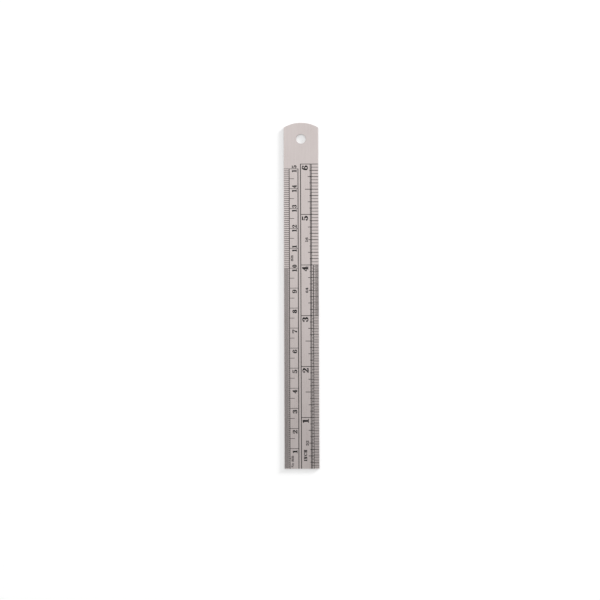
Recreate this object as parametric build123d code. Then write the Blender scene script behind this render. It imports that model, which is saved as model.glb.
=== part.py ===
"""Steel ruler: a stamped strip, 15 cm and 6 inches long, with etched and black-filled graduations.

Frame: origin at the centre of the underside, +X from the zero end to the end with the hanging hole,
+Y towards the metric edge, +Z out of the graduated face. Lengths are in millimetres.
"""
import os
from dataclasses import dataclass
from math import floor, gcd, hypot, sqrt

from build123d import *

# ---- Units of the two scales
millimetre = 1.0
centimetre = 10 * millimetre
inch = 25.4

# ---- Blade
blade_length = 173.3
blade_thickness = 0.7
head_length = 20.3              # bare steel past the scales, with the hole in it
head_radius = 16.5              # the convex end
head_corner_radius = 0.3
hole_diameter = 4.85
hole_to_tip = 8.2               # centre of the hole to the tip of the convex end
edge_break = 0.08               # chamfer on every outer edge and on the hole's rims

# ---- Etching and its black filling
groove_depth = 0.05
fill_recess = 0.01              # the filling's top lies this far below the face
edge_overrun = 0.5              # marks are drawn this far past the blade, then trimmed to it

# ---- Bands and ruled lines across the blade, from the metric edge to the inch edge
metric_tick_band = 2.54
metric_division_line = 0.36
metric_numeral_band = 4.04
metric_border_line = 0.41
centre_band = 0.87
inch_border_line = 0.40
inch_numeral_band = 4.51
inch_division_line = 0.33       # the inch division is two lines
inch_division_gap = 0.20        # between them
inch_sixteenth_band = 0.51
inch_fine_line = 0.35
inch_fine_band = 2.50

# ---- Marks of the metric scale
half_millimetre_zone = 10       # centimetres that are divided in half millimetres
metric_tick_width = 0.25
metric_long_tick_width = 0.24   # centimetres and half centimetres
half_millimetre_tick_length = 2.2
half_centimetre_tick_reach = 2.25       # past the division line

# ---- Marks of the inch scale
inch_zones = ((3, 32), (4, 64), (6, 16))        # up to this inch, parts in an inch
coarsest_fine_zone = 32         # zones with this many parts or more have the fine line
sixty_fourth_tick_width = 0.18
thirty_second_tick_width = 0.23
sixteenth_tick_width = 0.23
inch_long_tick_width = 0.32     # eighths and longer
sixty_fourth_tick_length = 1.7
eighth_tick_reach = 0.24        # past the division line, as the next two
quarter_tick_reach = 1.08
half_tick_reach = 2.50

# ---- Numerals of the metric scale
metric_numeral_drop = 1.20      # division line to the top of the numerals
metric_numeral_lift = 0.50      # border line to their feet
metric_numeral_width = 1.88
metric_numeral_stem = 0.78
metric_numeral_hairline = 0.29
metric_numeral_gap = 0.60       # between a single numeral and its centimetre line
metric_pair_width = 1.58        # of each digit of a pair
metric_pair_stem = 0.67
metric_pair_hairline = 0.26
metric_pair_gap_before = 0.32   # between the first digit of a pair and the centimetre line
metric_pair_gap_after = 0.12    # between the centimetre line and the second digit

# ---- Numerals of the inch scale
inch_numeral_lift = 0.98        # division line to the feet of the numerals
inch_numeral_drop = 0.42        # border line to their tops
inch_numeral_width = 2.46
inch_numeral_stem = 1.02
inch_numeral_hairline = 0.37
inch_numeral_gap = 0.52         # between a numeral and its inch line

# ---- Labels
label_clearance = 0.20          # between a label and the mark that ends at it
label_digit_height = 1.34
label_digit_width = 1.22
label_digit_stem = 0.48
label_digit_hairline = 0.24
label_digit_gap = 0.13
division_label_lift = 1.05      # inch division line to the label's foot
unit_label_height = 1.60
unit_label_width = 1.45
unit_label_stem = 0.52
unit_label_hairline = 0.24
unit_label_gap = 0.16
unit_label_lift = 1.88          # inch division line to the label's foot
unit_label_start = 3.8          # zero end to the label
millimetre_label_height = 1.14
millimetre_label_width = 1.40
millimetre_label_stem = 0.30
millimetre_label_hairline = 0.12
millimetre_label_gap = 0.12
millimetre_label_drop = 0.58    # metric division line to the top of the label
fraction_height = 1.26
fraction_digit_height = 0.82
fraction_digit_width = 0.78
fraction_digit_stem = 0.35
fraction_digit_hairline = 0.20
fraction_digit_gap = 0.10       # between each digit and the slash
fraction_slash_width = 0.22
fraction_slash_lean = 0.42
fraction_start = 0.65           # zero end to the fraction


# ======================================================================================
# Places worked out from the sizes above
# ======================================================================================
blade_width = (metric_tick_band + metric_division_line + metric_numeral_band + metric_border_line
               + centre_band + inch_border_line + inch_numeral_band + 2 * inch_division_line
               + inch_division_gap + inch_sixteenth_band + inch_fine_line + inch_fine_band)
zero_end = -blade_length / 2
tip = blade_length / 2
metric_edge = blade_width / 2
inch_edge = -blade_width / 2
scale_length = blade_length - head_length
centimetre_count = floor(scale_length / centimetre)
inch_count = floor(scale_length / inch)
fine_inch_count = min(inch_count, max(end for end, parts in inch_zones if parts >= coarsest_fine_zone))


@dataclass
class LineBand:
    """A ruled line: its side towards the metric edge and its side towards the inch edge."""
    upper: float
    lower: float


def line_below(y, gap, width):
    """Ruled line whose upper side lies gap below y."""
    return LineBand(y - gap, y - gap - width)


metric_division = line_below(metric_edge, metric_tick_band, metric_division_line)
metric_border = line_below(metric_division.lower, metric_numeral_band, metric_border_line)
inch_border = line_below(metric_border.lower, centre_band, inch_border_line)
inch_division_upper = line_below(inch_border.lower, inch_numeral_band, inch_division_line)
inch_division_lower = line_below(inch_division_upper.lower, inch_division_gap, inch_division_line)
inch_fine = line_below(inch_division_lower.lower, inch_sixteenth_band, inch_fine_line)
inch_numeral_floor = inch_division_upper.upper


# ======================================================================================
# Plain shapes
# ======================================================================================
def bar(x0, y0, x1, y1):
    """Rectangle between two corners."""
    return Pos((x0 + x1) / 2, (y0 + y1) / 2) * Rectangle(abs(x1 - x0), abs(y1 - y0))


def ring(x, y, rx, ry, left, right, hairline):
    """Elliptic bowl of a digit: thick at its left and right sides, a hairline at top and bottom."""
    inner = Pos((left - right) / 2, 0) * Ellipse(rx - (left + right) / 2, ry - hairline)
    return Pos(x, y) * (Ellipse(rx, ry) - inner)


def stroke(first_side, second_side):
    """Curved stroke between two arcs, each given by its start, its middle and its end."""
    return make_face([
        ThreePointArc(*first_side),
        Line(first_side[2], second_side[2]),
        ThreePointArc(*second_side),
        Line(second_side[0], first_side[0]),
    ])


def shape(*points):
    """Straight-sided shape through the points."""
    return make_face(Polyline(*points, close=True))


def dot(x, y, diameter):
    return Pos(x, y) * Circle(diameter / 2)


# ======================================================================================
# Digits and letters, in a plain bold face with slab feet and ball ends
# Each one stands on y = 0 with its middle at x = 0.
# ======================================================================================
@dataclass
class Style:
    height: float
    width: float
    stem: float
    hairline: float

    @property
    def ball(self):
        """Diameter of the ball at the end of a hairline."""
        return 0.85 * self.stem


def digit_0(s):
    return ring(0, s.height / 2, s.width / 2, s.height / 2, s.stem, s.stem, s.hairline)


def digit_1(s):
    h, half = s.height, s.width / 2
    flag_foot = 0.76 * h
    flag = shape((0, flag_foot), (0, h), (-0.2 * half, h), (-0.8 * half, flag_foot + s.hairline),
                 (-0.8 * half, flag_foot))
    foot = bar(-0.8 * half, 0, 0.8 * half, s.hairline)
    return bar(-s.stem / 2, 0, s.stem / 2, h) + flag + foot


def digit_2(s):
    h, half = s.height, s.width / 2
    shoulder = 0.68 * h
    foot = 0.20 * h
    bowl = ring(0, shoulder, half, h - shoulder, s.hairline, s.stem, s.hairline)
    bowl = bowl & bar(-half, shoulder, half, h)
    neck = stroke(
        ((half, shoulder), (0.42 * half, 0.40 * h), (-0.55 * half, foot / 2)),
        ((half - s.stem, shoulder), (-0.20 * half, 0.44 * h), (-half, foot / 2)))
    base = shape((-half, 0), (0.9 * half, 0), (half, 0.30 * h), (half - s.hairline, 0.30 * h),
                 (0.62 * half, foot), (-half, foot))
    ball = dot(-half + s.ball / 2, shoulder + 0.02 * h, s.ball)
    return bowl + neck + base + ball


def digit_3(s):
    h, half = s.height, s.width / 2
    upper_height = 0.27 * h
    lower_height = (h + s.hairline) / 2 - upper_height
    upper_width = 0.9 * half
    upper = ring(half - upper_width - 0.06 * half, h - upper_height, upper_width, upper_height,
                 s.hairline, s.stem, s.hairline)
    lower = ring(0, lower_height, half, lower_height, s.hairline, s.stem, s.hairline)
    opening = bar(-half, 0.24 * h, -0.1 * half, h - upper_height)
    balls = [dot(-0.96 * half + s.ball / 2, 0.75 * h, s.ball), dot(-half + s.ball / 2, 0.24 * h, s.ball)]
    return (upper + lower) - opening + balls


def digit_4(s):
    h, half = s.height, s.width / 2
    beam = 0.26 * h
    beam_top = beam + 1.1 * s.hairline
    stem_right = 0.68 * half
    stem_left = stem_right - s.stem
    peak = stem_left + 0.35 * s.stem
    slope = (h - beam_top) / (peak + half)
    inset = 1.15 * s.hairline * hypot(1, slope) / slope
    outline = shape((-half, beam), (stem_left, beam), (stem_left, 0), (stem_right, 0), (stem_right, h),
                    (peak, h), (-half, beam_top))
    counter = shape((-half + inset, beam_top), (stem_left, beam_top),
                    (stem_left, beam_top + slope * (stem_left + half - inset)))
    foot = bar(stem_left - 0.2 * half, 0, half, s.hairline)
    return outline - counter + foot + bar(stem_right, beam, half, beam_top)


def digit_5(s):
    h, half = s.height, s.width / 2
    bowl_height = 0.32 * h
    post = -0.8 * half
    bowl = ring(0, bowl_height, half, bowl_height, s.hairline, s.stem, s.hairline)
    bowl = bowl - bar(-half, 0.24 * h, 0, h)
    neck = bar(post, 0.48 * h, post + s.hairline, h)
    hook = stroke(
        ((post, 0.48 * h), (-0.50 * half, 0.59 * h), (0, 2 * bowl_height)),
        ((post + s.hairline, 0.48 * h), (-0.40 * half, 0.55 * h), (0, 2 * bowl_height - s.hairline)))
    flag = shape((post, h), (0.84 * half, h), (0.66 * half, 0.80 * h), (post, 0.80 * h))
    return bowl + neck + hook + flag + dot(-half + s.ball / 2, 0.23 * h, s.ball)


def digit_6(s):
    h, half = s.height, s.width / 2
    bowl_height = 0.31 * h
    side = 0.88 * s.stem
    bowl = ring(0, bowl_height, half, bowl_height, side, side, s.hairline)
    back = ring(0, bowl_height, half, h - bowl_height, side, s.hairline, s.hairline)
    back = back & (bar(-half, bowl_height, 0, h) + bar(0, 0.8 * h, 0.75 * half, h))
    return bowl + back + dot(0.92 * half - s.ball / 2, 0.80 * h, s.ball)


def digit_7(s):
    h, half = s.height, s.width / 2
    beam = 0.78 * h
    leg = stroke(
        ((half, beam), (0.42 * half, 0.42 * h), (0.28 * half, 0)),
        ((half - s.hairline, beam), (-0.18 * half, 0.42 * h), (0.28 * half - 1.1 * s.stem, 0)))
    serif = bar(-half, 0.66 * h, -half + s.hairline, h)
    return bar(-half, beam, half, h) + leg + serif


def digit_8(s):
    h, half = s.height, s.width / 2
    upper_height = 0.26 * h
    lower_height = (h + s.hairline) / 2 - upper_height
    upper = ring(0, h - upper_height, 0.88 * half, upper_height, 0.9 * s.stem, 0.9 * s.stem, s.hairline)
    lower = ring(0, lower_height, half, lower_height, s.stem, s.stem, s.hairline)
    return upper + lower


def digit_9(s):
    return Pos(0, s.height) * Rot(0, 0, 180) * digit_6(s)


def letter_c(s):
    h, half = s.height, s.width / 2
    bowl = ring(0, h / 2, half, h / 2, s.stem, s.hairline, s.hairline)
    mouth = bar(0.3 * half, 0.34 * h, half, 0.64 * h)
    serif = bar(half - s.hairline, 0.64 * h, half, 0.98 * h)
    return bowl - mouth + serif


def letter_h(s):
    h, half = s.height, s.width / 2
    post = slab_post(s)
    reach = half - post.bounding_box().size.X / 2
    beam = bar(-reach, (h - s.hairline) / 2, reach, (h + s.hairline) / 2)
    return Pos(-reach, 0) * post + Pos(reach, 0) * post + beam


def slab_post(s):
    """Upright stem with a slab at its head and at its foot."""
    slab = s.stem / 2 + 0.5 * s.hairline
    stem = bar(-s.stem / 2, 0, s.stem / 2, s.height)
    return stem + bar(-slab, 0, slab, s.hairline) + bar(-slab, s.height - s.hairline, slab, s.height)


def letter_i(s):
    return slab_post(s)


def letter_m(s):
    """Small m: three stems under two arches."""
    h, half = s.height, s.width / 2
    pitch = half - s.stem / 2 - s.hairline / 2
    spring = 0.55 * h
    arch = ring(pitch / 2, spring, (pitch + s.stem) / 2, h - spring, s.stem, s.stem, 1.3 * s.hairline)
    arch = arch & bar(-s.stem, spring, pitch + s.stem, h)
    letter = arch + Pos(-pitch, 0) * arch + bar(-pitch - s.stem / 2, spring, -pitch, h)
    for x in (-pitch, 0, pitch):
        letter += bar(x - s.stem / 2, 0, x + s.stem / 2, spring)
        letter += bar(x - (s.stem + s.hairline) / 2, 0, x + (s.stem + s.hairline) / 2, s.hairline)
    return letter


def letter_n(s):
    h, half = s.height, s.width / 2
    thin = s.hairline
    slab = 1.4 * thin
    left, right = -half + slab, half - slab
    reach = 0.9 * s.stem
    diagonal = shape((left - thin / 2, h), (left - thin / 2 + reach, h), (right + thin / 2, 0),
                     (right + thin / 2 - reach, 0))
    letter = diagonal + bar(left - slab, h - thin, left, h)
    for x in (left, right):
        letter += bar(x - thin / 2, 0, x + thin / 2, h)
    return letter + bar(left - slab, 0, left + slab, thin) + bar(right - slab, h - thin, right + slab, h)


GLYPHS = {
    "0": digit_0, "1": digit_1, "2": digit_2, "3": digit_3, "4": digit_4,
    "5": digit_5, "6": digit_6, "7": digit_7, "8": digit_8, "9": digit_9,
    "C": letter_c, "H": letter_h, "I": letter_i, "m": letter_m, "N": letter_n,
}


def ending_at(x, glyph):
    """The glyph moved along X so that its right side is at x."""
    return Pos(x - glyph.bounding_box().max.X, 0) * glyph


def starting_at(x, glyph):
    """The glyph moved along X so that its left side is at x."""
    return Pos(x - glyph.bounding_box().min.X, 0) * glyph


def set_text(text, style, gap):
    """Glyphs in a row, gap apart, as a list. The row starts at x = 0."""
    glyphs = [starting_at(0, GLYPHS[text[0]](style))]
    for character in text[1:]:
        glyphs.append(starting_at(row_width(glyphs) + gap, GLYPHS[character](style)))
    return glyphs


def row_width(glyphs):
    return max(glyph.bounding_box().max.X for glyph in glyphs)


def place(glyphs, x, y):
    return [Pos(x, y) * glyph for glyph in glyphs]


def fraction(numerator, denominator, style):
    """Two small digits on each side of a leaning slash, as a list. It starts at x = 0."""
    rise = fraction_height - style.height
    lean = fraction_slash_lean / fraction_height
    slash_foot = style.width + fraction_digit_gap - lean * rise
    slash_head = slash_foot + fraction_slash_lean
    slash = shape((slash_foot, 0), (slash_foot + fraction_slash_width, 0),
                  (slash_head + fraction_slash_width, fraction_height), (slash_head, fraction_height))
    after_slash = slash_foot + fraction_slash_width + lean * style.height + fraction_digit_gap
    return [Pos(style.width / 2, rise) * GLYPHS[numerator](style), slash,
            Pos(after_slash + style.width / 2, 0) * GLYPHS[denominator](style)]


# ======================================================================================
# Sketches of what is etched, one list of separate shapes for each node
# ======================================================================================
def marks(distances, width, *stretches):
    """Marks at the distances from the zero end, each made of stretches (low y, high y)."""
    return [bar(zero_end + distance - width / 2, low, zero_end + distance + width / 2, high)
            for distance in distances for low, high in stretches]


def ruled_line(band, length):
    """Line along the scale, from past the zero end."""
    return [bar(zero_end - edge_overrun, band.lower, zero_end + length, band.upper)]


def millimetre_label_places():
    """Half centimetres with a label under them: the first one, and the first past the half millimetres."""
    places = [0.5 * centimetre, (half_millimetre_zone + 0.5) * centimetre]
    return [middle for middle in places if middle < centimetre_count * centimetre]


def metric_marks():
    outside = metric_edge + edge_overrun
    to_division = (metric_division.upper, outside)
    past_division = (metric_division.lower - half_centimetre_tick_reach, metric_division.lower)
    to_label = (metric_division.lower - millimetre_label_drop + label_clearance, metric_division.lower)
    half_millimetres = min(half_millimetre_zone, centimetre_count) * 10
    every = range(1, centimetre_count * 10 + 1)
    labelled = millimetre_label_places()
    plain = [n * millimetre for n in every if n % 10 == 5 and n * millimetre not in labelled]
    return {
        "metric_half_millimetre_marks": marks(
            [(n + 0.5) * millimetre for n in range(half_millimetres)], metric_tick_width,
            (metric_edge - half_millimetre_tick_length, outside)),
        "metric_millimetre_marks": marks(
            [n * millimetre for n in every if n % 5], metric_tick_width, to_division),
        "metric_half_centimetre_marks": (
            marks(plain, metric_long_tick_width, to_division, past_division)
            + marks(labelled, metric_long_tick_width, to_division, to_label)),
        "metric_centimetre_marks": marks(
            [n * millimetre for n in every if n % 10 == 0], metric_long_tick_width,
            to_division, (metric_border.upper, metric_division.lower)),
    }


def parts_in_inch(number):
    """How many parts the number-th inch has."""
    for end, parts in inch_zones:
        if number <= end:
            return parts
    return inch_zones[-1][1]


def inch_label_places():
    """Half inches that carry their zone's label: the first of each zone on the blade."""
    starts = [0] + [end for end, parts in inch_zones[:-1]]
    return {start + 0.5: parts for start, (end, parts) in zip(starts, inch_zones) if start < inch_count}


def inch_marks():
    outside = inch_edge - edge_overrun
    labelled_reach = division_label_lift - label_clearance
    kinds = {
        64: ("inch_sixty_fourth_marks", sixty_fourth_tick_width, 0),
        32: ("inch_thirty_second_marks", thirty_second_tick_width, 0),
        16: ("inch_sixteenth_marks", sixteenth_tick_width, 0),
        8: ("inch_eighth_marks", inch_long_tick_width, eighth_tick_reach),
        4: ("inch_quarter_marks", inch_long_tick_width, quarter_tick_reach),
        2: ("inch_half_marks", inch_long_tick_width, half_tick_reach),
        1: ("inch_whole_marks", inch_long_tick_width, inch_border.lower - inch_numeral_floor),
    }
    nodes = {name: [] for name, width, reach in kinds.values()}
    for n in range(1, inch_count * 64 + 1):
        parts = 64 // gcd(n, 64)
        if parts > parts_in_inch(-(-n // 64)):
            continue
        name, width, reach = kinds[parts]
        if n / 64 in inch_label_places():
            reach = labelled_reach
        if parts == 64:
            stretches = [(outside, inch_edge + sixty_fourth_tick_length)]
        elif parts == 32:
            stretches = [(outside, inch_fine.lower)]
        elif n <= fine_inch_count * 64:
            stretches = [(outside, inch_fine.lower), (inch_fine.upper, inch_division_lower.lower)]
        else:
            stretches = [(outside, inch_division_lower.lower)]
        if reach:
            stretches.append((inch_division_lower.upper, inch_division_upper.lower))
            stretches.append((inch_numeral_floor, inch_numeral_floor + reach))
        nodes[name] += marks([n / 64 * inch], width, *stretches)
    return {name: shapes for name, shapes in nodes.items() if shapes}


def ruled_lines():
    metric_length = centimetre_count * centimetre + metric_long_tick_width / 2
    inch_length = inch_count * inch + inch_long_tick_width / 2
    fine_length = fine_inch_count * inch + inch_long_tick_width / 2
    return {
        "metric_division_line": ruled_line(metric_division, metric_length),
        "metric_border_line": ruled_line(metric_border, metric_length),
        "inch_border_line": ruled_line(inch_border, inch_length),
        "inch_division_line": (ruled_line(inch_division_upper, inch_length)
                               + ruled_line(inch_division_lower, inch_length)),
        "inch_fine_line": ruled_line(inch_fine, fine_length),
    }


def metric_numerals():
    """Single numerals stand before their centimetre line, pairs have one digit on each side of it."""
    height = metric_numeral_band - metric_numeral_drop - metric_numeral_lift
    single = Style(height, metric_numeral_width, metric_numeral_stem, metric_numeral_hairline)
    paired = Style(height, metric_pair_width, metric_pair_stem, metric_pair_hairline)
    feet = metric_border.upper + metric_numeral_lift
    half_line = metric_long_tick_width / 2
    nodes = {}
    for number in range(1, centimetre_count + 1):
        line = zero_end + number * centimetre
        if number < 10:
            row = [ending_at(line - half_line - metric_numeral_gap, GLYPHS[str(number)](single))]
        else:
            first, second = (GLYPHS[digit](paired) for digit in str(number))
            row = [ending_at(line - half_line - metric_pair_gap_before, first),
                   starting_at(line + half_line + metric_pair_gap_after, second)]
        nodes[f"metric_numeral_{number:02d}"] = place(row, 0, feet)
    return nodes


def inch_numerals():
    height = inch_numeral_band - inch_numeral_lift - inch_numeral_drop
    style = Style(height, inch_numeral_width, inch_numeral_stem, inch_numeral_hairline)
    before_line = inch_long_tick_width / 2 + inch_numeral_gap
    feet = inch_numeral_floor + inch_numeral_lift
    nodes = {}
    for number in range(1, inch_count + 1):
        glyph = GLYPHS[str(number)](style)
        nodes[f"inch_numeral_{number}"] = place(
            [ending_at(zero_end + number * inch - before_line, glyph)], 0, feet)
    return nodes


def labels():
    nodes = {}
    digits = Style(label_digit_height, label_digit_width, label_digit_stem, label_digit_hairline)
    for place_in_inches, parts in inch_label_places().items():
        row = set_text(str(parts), digits, label_digit_gap)
        x = zero_end + place_in_inches * inch - row_width(row) / 2
        nodes[f"inch_label_{parts}"] = place(row, x, inch_numeral_floor + division_label_lift)

    capitals = Style(unit_label_height, unit_label_width, unit_label_stem, unit_label_hairline)
    nodes["inch_label_unit"] = place(
        set_text("INCH", capitals, unit_label_gap), zero_end + unit_label_start,
        inch_numeral_floor + unit_label_lift)

    small = Style(millimetre_label_height, millimetre_label_width, millimetre_label_stem,
                  millimetre_label_hairline)
    tiny = Style(fraction_digit_height, fraction_digit_width, fraction_digit_stem,
                 fraction_digit_hairline)
    feet = metric_division.lower - millimetre_label_drop - millimetre_label_height
    unit = set_text("mm", small, millimetre_label_gap)
    names = ["metric_label_half_millimetre", "metric_label_millimetre"]
    for name, middle in zip(names, millimetre_label_places()):
        nodes[name] = place(unit, zero_end + middle - row_width(unit) / 2, feet)
    nodes[names[0]] += place(fraction("1", "2", tiny), zero_end + fraction_start, feet)
    return nodes


# ======================================================================================
# Solids
# ======================================================================================
def blank_blade():
    """The strip before it is etched."""
    half_width = blade_width / 2
    shoulder = tip - head_radius + sqrt(head_radius ** 2 - half_width ** 2)
    outline = make_face([
        Line((zero_end, inch_edge), (shoulder, inch_edge)),
        ThreePointArc((shoulder, inch_edge), (tip, 0), (shoulder, metric_edge)),
        Line((shoulder, metric_edge), (zero_end, metric_edge)),
        Line((zero_end, metric_edge), (zero_end, inch_edge)),
    ])
    outline = fillet(outline.vertices().sort_by(Axis.X)[-2:], head_corner_radius)
    outline -= Pos(tip - hole_to_tip, 0) * Circle(hole_diameter / 2)
    blank = extrude(outline, blade_thickness)
    faces = blank.faces().sort_by(Axis.Z)
    return chamfer(faces[0].edges() + faces[-1].edges(), edge_break)


def filling(shapes, blank):
    """Black filling of the etched shapes, trimmed to the blade."""
    groove_floor = Pos(0, 0, blade_thickness - groove_depth)
    solids = [extrude(groove_floor * each, groove_depth - fill_recess) for each in shapes]
    return Compound(children=[solid for each in solids for solid in (each & blank).solids()])


def etched(blank, shapes):
    """The blade with a pocket for every shape."""
    pockets = extrude(Pos(0, 0, blade_thickness - groove_depth) * (Sketch() + shapes), 2 * groove_depth)
    return blank - pockets


os.makedirs("parts", exist_ok=True)
fillings = {**metric_marks(), **inch_marks(), **ruled_lines(), **metric_numerals(), **inch_numerals(),
            **labels()}
blank = blank_blade()
blade = etched(blank, [each for shapes in fillings.values() for each in shapes])
export_step(blade, "parts/blade.step")
for name, shapes in fillings.items():
    export_step(filling(shapes, blank), f"parts/{name}.step")
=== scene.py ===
"""A steel ruler on a white table: brushed stainless blade with black-filled graduations.

Metres. +X runs along the blade from the zero end to the hung end, +Y points to the metric edge,
+Z out of the graduated face.
"""
import math

import bpy
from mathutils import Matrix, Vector


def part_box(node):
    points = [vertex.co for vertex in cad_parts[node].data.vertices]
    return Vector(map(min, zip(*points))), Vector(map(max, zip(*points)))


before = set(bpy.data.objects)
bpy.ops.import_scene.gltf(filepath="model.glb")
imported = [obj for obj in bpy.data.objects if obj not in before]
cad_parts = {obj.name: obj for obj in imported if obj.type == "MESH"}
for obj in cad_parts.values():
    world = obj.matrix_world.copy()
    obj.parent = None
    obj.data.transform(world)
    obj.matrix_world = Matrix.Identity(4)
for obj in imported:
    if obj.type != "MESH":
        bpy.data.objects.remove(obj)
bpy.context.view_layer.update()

MM = 0.001
BLADE_LOW, BLADE_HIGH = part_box("blade")
HALF_LENGTH = (BLADE_HIGH.x - BLADE_LOW.x) / 2
HALF_WIDTH = (BLADE_HIGH.y - BLADE_LOW.y) / 2
TOP = BLADE_HIGH.z


def colour(red, green, blue):
    return (red, green, blue, 1.0)


WHITE = colour(1, 1, 1)

# ---- Camera: above the ruler, a little towards the zero end. The hung end is up in the picture.
LENS = 100.0
SENSOR = 36.0
VIEW_WIDTH = 300 * MM           # width of the floor that the picture covers
AIM = Vector((-2.60 * MM, 0.88 * MM, 0))        # what the middle of the picture shows
TILT = math.radians(3.0)
ROLL = math.radians(-90.20)

# ---- Floor. It gives some light by itself, as a lit table does.
FLOOR_COLOUR = colour(0.80, 0.80, 0.80)
FLOOR_SIZE = 12.0
FLOOR_GAP = 0.01 * MM           # keeps the blade's underside off the floor's own plane
FLOOR_GLOW = (0.24, 0.42)       # under the ruler, and where the key lamp no longer reaches
FLOOR_GLOW_CHANGE = (0.4, 2.5)  # distances from the ruler between which the one becomes the other

# ---- Light
KEY_PLACE = (1.87, -2.31, 0.51)         # low, so that the thin blade throws a shadow
KEY_SIZE = 0.50
KEY_POWER = 130.0
SKY_LIGHT = (0.46, 1.04)        # soft light from the zero end's side, and from the hung end's
SKY_TURN = -0.01                # where the one becomes the other, as a direction's X
SKY_SOFTNESS = 0.08

# ---- Steel. A layer's sizes are its features' lengths along, across and through the blade. Its
# span is the part of its noise, out of 0 to 1, over which its effect grows from least to most.
STEEL_DARK = colour(0.560, 0.498, 0.482)
STEEL_BRIGHT = colour(0.720, 0.653, 0.639)
GRAIN_SIZES = (6 * MM, 0.045 * MM, 0.045 * MM)
GRAIN_SPAN = (0.25, 0.75)
STREAK_SIZES = (38 * MM, 0.42 * MM, 0.42 * MM)
STREAK_SPAN = (0.25, 0.75)
CLOUD_SIZES = (17 * MM, 9 * MM, 9 * MM)
CLOUD_SPAN = (0.3, 0.7)
EDGE_BAND = (0.55 * MM, 0.05 * MM)      # distances from the outline where wear starts and is full
SIDE_SHADE_SLOPE = (0.95, 0.60)        # a normal's Z where a face starts to take painted shade, and wholly does

TONE = 0.50                     # 0 is dark steel and 1 is bright. How much each layer changes it:
TONE_GRAIN = 0.20
TONE_STREAKS = 0.10
TONE_CLOUDS = 0.14
TONE_EDGE = 0.25
SCRATCH_SHINE = 0.35            # how far a scratch goes towards bright steel
PAINTED_SIDE_SHADE = 0.5                 # painted shade: how far sideways faces, such as the rim, go towards dark steel

ROUGHNESS = 0.31                # How much each layer changes it:
ROUGHNESS_GRAIN = 0.03
ROUGHNESS_STREAKS = 0.02
ROUGHNESS_CLOUDS = 0.02
ROUGHNESS_EDGE = 0.04           # taken off, as wear polishes
ANISOTROPY = 0.75

RELIEF_DEPTH = 0.004 * MM       # the filling's too
RELIEF_STRENGTH = 0.25
RELIEF_GRAIN = 0.6
RELIEF_STREAKS = 0.4
RELIEF_SCRATCHES = 0.7          # taken off, as they are sunk

SCRATCH_SIZES = (9 * MM, 0.07 * MM, 0.07 * MM)
SCRATCH_SPAN = (0.735, 0.765)           # the noise's crests alone
SCRATCH_PATCH_SIZES = (14 * MM, 9 * MM, 9 * MM)
SCRATCH_PATCH_SPAN = (0.45, 0.62)
SCRATCH_PATCH_SEED = 5                  # added to the scratches' own seed
SCRATCH_GROUPS = ((11, 7), (23, -24), (31, 63))     # seed, and degrees from the blade's length

# ---- Filling
FILLING = colour(0.010, 0.009, 0.010)
FILLING_WORN = colour(0.040, 0.036, 0.035)
FILLING_GRAIN_SIZES = (0.05 * MM, 0.05 * MM, 0.05 * MM)
FILLING_GRAIN_SPAN = (0.3, 0.7)
FILLING_WEAR_SIZES = (2.2 * MM, 0.8 * MM, 0.8 * MM)
FILLING_WEAR_SPAN = (0.45, 0.75)
FILLING_ROUGHNESS = (0.5, 0.7)
FILLING_SHEEN = 0.25
FILLING_RELIEF_STRENGTH = 0.4


# ======================================================================================
# Node trees
# ======================================================================================
MIX_FACTOR, MIX_FIRST, MIX_SECOND, MIX_COLOUR = 0, 6, 7, 2      # sockets of a Mix node for colours
SEED_STEPS = (1.0, 1.7, 2.3)    # how far each step of a seed moves the noise in x, y and z


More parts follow.
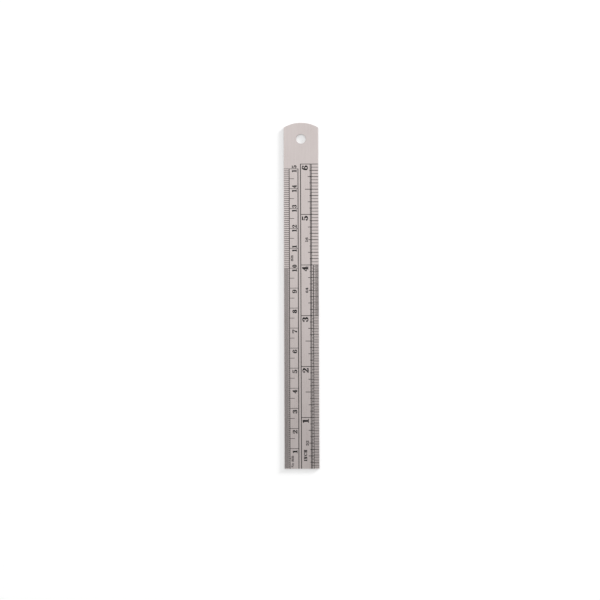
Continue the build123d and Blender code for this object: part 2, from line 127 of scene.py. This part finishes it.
class Tree:
    """A material's or the world's node tree, with short ways to add nodes and join them."""

    def __init__(self, owner):
        owner.use_nodes = True
        self.tree = owner.node_tree
        self.tree.nodes.clear()

    def add(self, kind, inputs=None, **settings):
        """A new node. Each of its inputs is another node's output or a value."""
        node = self.tree.nodes.new(kind)
        for name, value in settings.items():
            setattr(node, name, value)
        for name, value in (inputs or {}).items():
            if isinstance(value, bpy.types.NodeSocket):
                self.tree.links.new(value, node.inputs[name])
            else:
                node.inputs[name].default_value = value
        return node

    def math(self, operation, first, *others, clamp=False):
        """One operation on all the values, one after the other."""
        for other in others:
            first = self.add("ShaderNodeMath", {0: first, 1: other},
                             operation=operation, use_clamp=clamp).outputs[0]
        return first

    def absolute(self, value):
        return self.add("ShaderNodeMath", {0: value}, operation="ABSOLUTE").outputs[0]

    def ramp(self, value, span, result=(0.0, 1.0)):
        """Carries the value from one span to another, smoothly and no further."""
        return self.add("ShaderNodeMapRange", {
            "Value": value, "From Min": span[0], "From Max": span[1],
            "To Min": result[0], "To Max": result[1]},
            interpolation_type="SMOOTHSTEP").outputs["Result"]

    def swing(self, value, span, reach, middle=0.0):
        """Carries the value from its span to reach below the middle up to reach above it."""
        return self.ramp(value, span, (middle - reach, middle + reach))

    def noise(self, coordinates, sizes, detail, roughness=0.5, turn=0.0, seed=0.0):
        """Noise whose features are sizes metres long in x, y and z, turned about Z."""
        turned = self.add("ShaderNodeVectorRotate", {"Vector": coordinates, "Angle": turn},
                          rotation_type="Z_AXIS")
        scaled = self.add("ShaderNodeVectorMath", {
            0: turned.outputs[0], 1: [1 / size for size in sizes]}, operation="MULTIPLY")
        shifted = self.add("ShaderNodeVectorMath", {
            0: scaled.outputs[0], 1: [seed * step for step in SEED_STEPS]}, operation="ADD")
        return self.add("ShaderNodeTexNoise", {
            "Vector": shifted.outputs[0], "Scale": 1.0, "Detail": detail,
            "Roughness": roughness}).outputs["Fac"]

    def mix(self, factor, first, second):
        """Colour between two colours."""
        return self.add("ShaderNodeMix", {
            MIX_FACTOR: factor, MIX_FIRST: first, MIX_SECOND: second},
            data_type="RGBA").outputs[MIX_COLOUR]

    def place(self):
        """The point in the object's own coordinates, which are the CAD's."""
        return self.add("ShaderNodeTexCoord").outputs["Object"]

    def relief(self, height, strength):
        """The surface's normal with a relief of this height."""
        return self.add("ShaderNodeBump", {
            "Height": height, "Strength": strength, "Distance": RELIEF_DEPTH}).outputs["Normal"]

    def is_ray(self, *kinds):
        """1 for a ray of one of these kinds and 0 for any other."""
        path = self.add("ShaderNodeLightPath")
        return self.math("MAXIMUM", *(path.outputs["Is %s Ray" % kind] for kind in kinds))


# ======================================================================================
# Materials
# ======================================================================================
def scratches(tree, place, seed, slant):
    """Sparse thin lines a few millimetres long, at one slant. 1 on a scratch and 0 elsewhere."""
    lines = tree.noise(place, SCRATCH_SIZES, detail=1.0, turn=math.radians(slant), seed=seed)
    patches = tree.noise(place, SCRATCH_PATCH_SIZES, detail=1.0, seed=seed + SCRATCH_PATCH_SEED)
    return tree.math("MULTIPLY", tree.ramp(lines, SCRATCH_SPAN),
                     tree.ramp(patches, SCRATCH_PATCH_SPAN))


def brushed_steel():
    """Stainless steel with a fine grain along the blade, a few scratches and worn edges. Its sides
    have painted shade.
    """
    material = bpy.data.materials.new("brushed_stainless")
    tree = Tree(material)
    place = tree.place()
    offset = tree.add("ShaderNodeSeparateXYZ", {"Vector": place}).outputs
    facing = tree.add("ShaderNodeSeparateXYZ", {
        "Vector": tree.add("ShaderNodeNewGeometry").outputs["True Normal"]}).outputs

    grain = tree.noise(place, GRAIN_SIZES, detail=3.0, roughness=0.6)
    streaks = tree.noise(place, STREAK_SIZES, detail=3.0, roughness=0.65, seed=3)
    clouds = tree.noise(place, CLOUD_SIZES, detail=3.0, seed=8)
    marks = tree.math("MAXIMUM", *(scratches(tree, place, *group) for group in SCRATCH_GROUPS))
    edge = tree.math("MAXIMUM", *(
        tree.ramp(tree.absolute(offset[axis]), [half - inset for inset in EDGE_BAND])
        for axis, half in (("Y", HALF_WIDTH), ("X", HALF_LENGTH))))
    # painted shade: faces turned away from up and down, such as the blade's sides and the hole's
    # wall, get darker steel
    side_shade = tree.ramp(tree.absolute(facing["Z"]), SIDE_SHADE_SLOPE)

    tone = tree.math("ADD", tree.swing(streaks, STREAK_SPAN, TONE_STREAKS, TONE),
                     tree.swing(clouds, CLOUD_SPAN, TONE_CLOUDS),
                     tree.swing(grain, GRAIN_SPAN, TONE_GRAIN))
    tone = tree.math("ADD", tone, tree.math("MULTIPLY", edge, TONE_EDGE), clamp=True)
    base = tree.mix(tone, STEEL_DARK, STEEL_BRIGHT)
    base = tree.mix(tree.math("MULTIPLY", marks, SCRATCH_SHINE), base, STEEL_BRIGHT)
    base = tree.mix(tree.math("MULTIPLY", side_shade, PAINTED_SIDE_SHADE), base, STEEL_DARK)

    roughness = tree.math("ADD", ROUGHNESS, tree.swing(streaks, STREAK_SPAN, ROUGHNESS_STREAKS),
                          tree.swing(clouds, CLOUD_SPAN, ROUGHNESS_CLOUDS),
                          tree.swing(grain, GRAIN_SPAN, ROUGHNESS_GRAIN))
    roughness = tree.math("SUBTRACT", roughness, tree.math("MULTIPLY", edge, ROUGHNESS_EDGE))

    height = tree.math("ADD", tree.math("MULTIPLY", grain, RELIEF_GRAIN),
                       tree.math("MULTIPLY", streaks, RELIEF_STREAKS))
    height = tree.math("SUBTRACT", height, tree.math("MULTIPLY", marks, RELIEF_SCRATCHES))
    shader = tree.add("ShaderNodeBsdfPrincipled", {
        "Base Color": base, "Metallic": 1.0, "Roughness": roughness, "Anisotropic": ANISOTROPY,
        "Tangent": tree.add("ShaderNodeCombineXYZ", {"Y": 1.0}).outputs[0],
        "Normal": tree.relief(height, RELIEF_STRENGTH)})
    tree.add("ShaderNodeOutputMaterial", {"Surface": shader.outputs[0]})
    return material


def black_filling():
    """Matt black in the etched marks, slightly worn."""
    material = bpy.data.materials.new("black_filling")
    tree = Tree(material)
    place = tree.place()
    grain = tree.noise(place, FILLING_GRAIN_SIZES, detail=2.0, roughness=0.6)
    wear = tree.noise(place, FILLING_WEAR_SIZES, detail=3.0, roughness=0.6, seed=4)
    shader = tree.add("ShaderNodeBsdfPrincipled", {
        "Base Color": tree.mix(tree.ramp(wear, FILLING_WEAR_SPAN), FILLING, FILLING_WORN),
        "Roughness": tree.ramp(grain, FILLING_GRAIN_SPAN, FILLING_ROUGHNESS),
        "Specular IOR Level": FILLING_SHEEN,
        "Normal": tree.relief(grain, FILLING_RELIEF_STRENGTH)})
    tree.add("ShaderNodeOutputMaterial", {"Surface": shader.outputs[0]})
    return material


def white_floor():
    """White table, clear from below: it glows a little by itself and takes the ruler's shadow."""
    material = bpy.data.materials.new("white_floor")
    tree = Tree(material)
    diffuse = tree.add("ShaderNodeBsdfDiffuse", {"Color": FLOOR_COLOUR})
    distance = tree.add("ShaderNodeVectorMath", {0: tree.place()}, operation="LENGTH")
    level = tree.ramp(distance.outputs["Value"], FLOOR_GLOW_CHANGE, FLOOR_GLOW)
    seen = tree.is_ray("Camera", "Glossy", "Transmission")
    glow = tree.add("ShaderNodeEmission", {
        "Color": WHITE, "Strength": tree.math("MULTIPLY", seen, level)})
    lit = tree.add("ShaderNodeAddShader", {0: diffuse.outputs[0], 1: glow.outputs[0]})
    below = tree.add("ShaderNodeNewGeometry").outputs["Backfacing"]
    clear = tree.add("ShaderNodeBsdfTransparent")
    shader = tree.add("ShaderNodeMixShader", {0: below, 1: lit.outputs[0], 2: clear.outputs[0]})
    tree.add("ShaderNodeOutputMaterial", {"Surface": shader.outputs[0]})
    return material


def dress(node, material):
    """Gives a CAD node its material and smooth round faces."""
    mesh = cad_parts[node].data
    mesh.materials.clear()
    mesh.materials.append(material)
    for polygon in mesh.polygons:
        polygon.use_smooth = True
        polygon.material_index = 0


# ======================================================================================
# Studio
# ======================================================================================
def add_object(name, data):
    item = bpy.data.objects.new(name, data)
    bpy.context.scene.collection.objects.link(item)
    return item


def add_floor():
    """One square face just under the ruler, facing up."""
    corners = [(x * FLOOR_SIZE / 2, y * FLOOR_SIZE / 2, BLADE_LOW.z - FLOOR_GAP)
               for x, y in ((-1, -1), (1, -1), (1, 1), (-1, 1))]
    mesh = bpy.data.meshes.new("floor")
    mesh.from_pydata(corners, [], [(0, 1, 2, 3)])
    mesh.materials.append(white_floor())
    floor = add_object("floor", mesh)


def add_key_lamp():
    """Soft square lamp that faces the ruler. It makes shadows, but no glare on the steel."""
    light = bpy.data.lights.new("key", "AREA")
    light.shape = "SQUARE"
    light.size = KEY_SIZE
    light.energy = KEY_POWER
    lamp = add_object("key", light)
    lamp.location = KEY_PLACE
    lamp.rotation_euler = (-Vector(KEY_PLACE)).to_track_quat("-Z", "Y").to_euler()
    lamp.visible_glossy = False


def light_the_world():
    """A sky that looks white and lights the ruler more from the hung end's side."""
    world = bpy.data.worlds.new("studio")
    bpy.context.scene.world = world
    tree = Tree(world)
    direction = tree.add("ShaderNodeSeparateXYZ", {
        "Vector": tree.add("ShaderNodeTexCoord").outputs["Generated"]})
    turn = (SKY_TURN - SKY_SOFTNESS, SKY_TURN + SKY_SOFTNESS)
    sky = tree.ramp(direction.outputs["X"], turn, SKY_LIGHT)
    seen = tree.is_ray("Camera", "Transmission")
    level = tree.add("ShaderNodeMix", {"Factor": seen, "A": sky, "B": 1.0}).outputs["Result"]
    shader = tree.add("ShaderNodeBackground", {"Color": WHITE, "Strength": level})
    tree.add("ShaderNodeOutputWorld", {"Surface": shader.outputs[0]})


def add_camera():
    data = bpy.data.cameras.new("camera")
    data.lens = LENS
    data.sensor_width = SENSOR
    camera = add_object("camera", data)
    distance = VIEW_WIDTH * LENS / SENSOR
    camera.location = (AIM + Vector((0, 0, TOP))
                       + distance * Vector((-math.sin(TILT), 0, math.cos(TILT))))
    camera.rotation_euler = (TILT, 0, ROLL)
    bpy.context.scene.camera = camera


steel = brushed_steel()
filling = black_filling()
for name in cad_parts:
    dress(name, steel if name == "blade" else filling)

add_floor()
add_key_lamp()
light_the_world()
add_camera()
bpy.context.scene.view_settings.view_transform = "Standard"
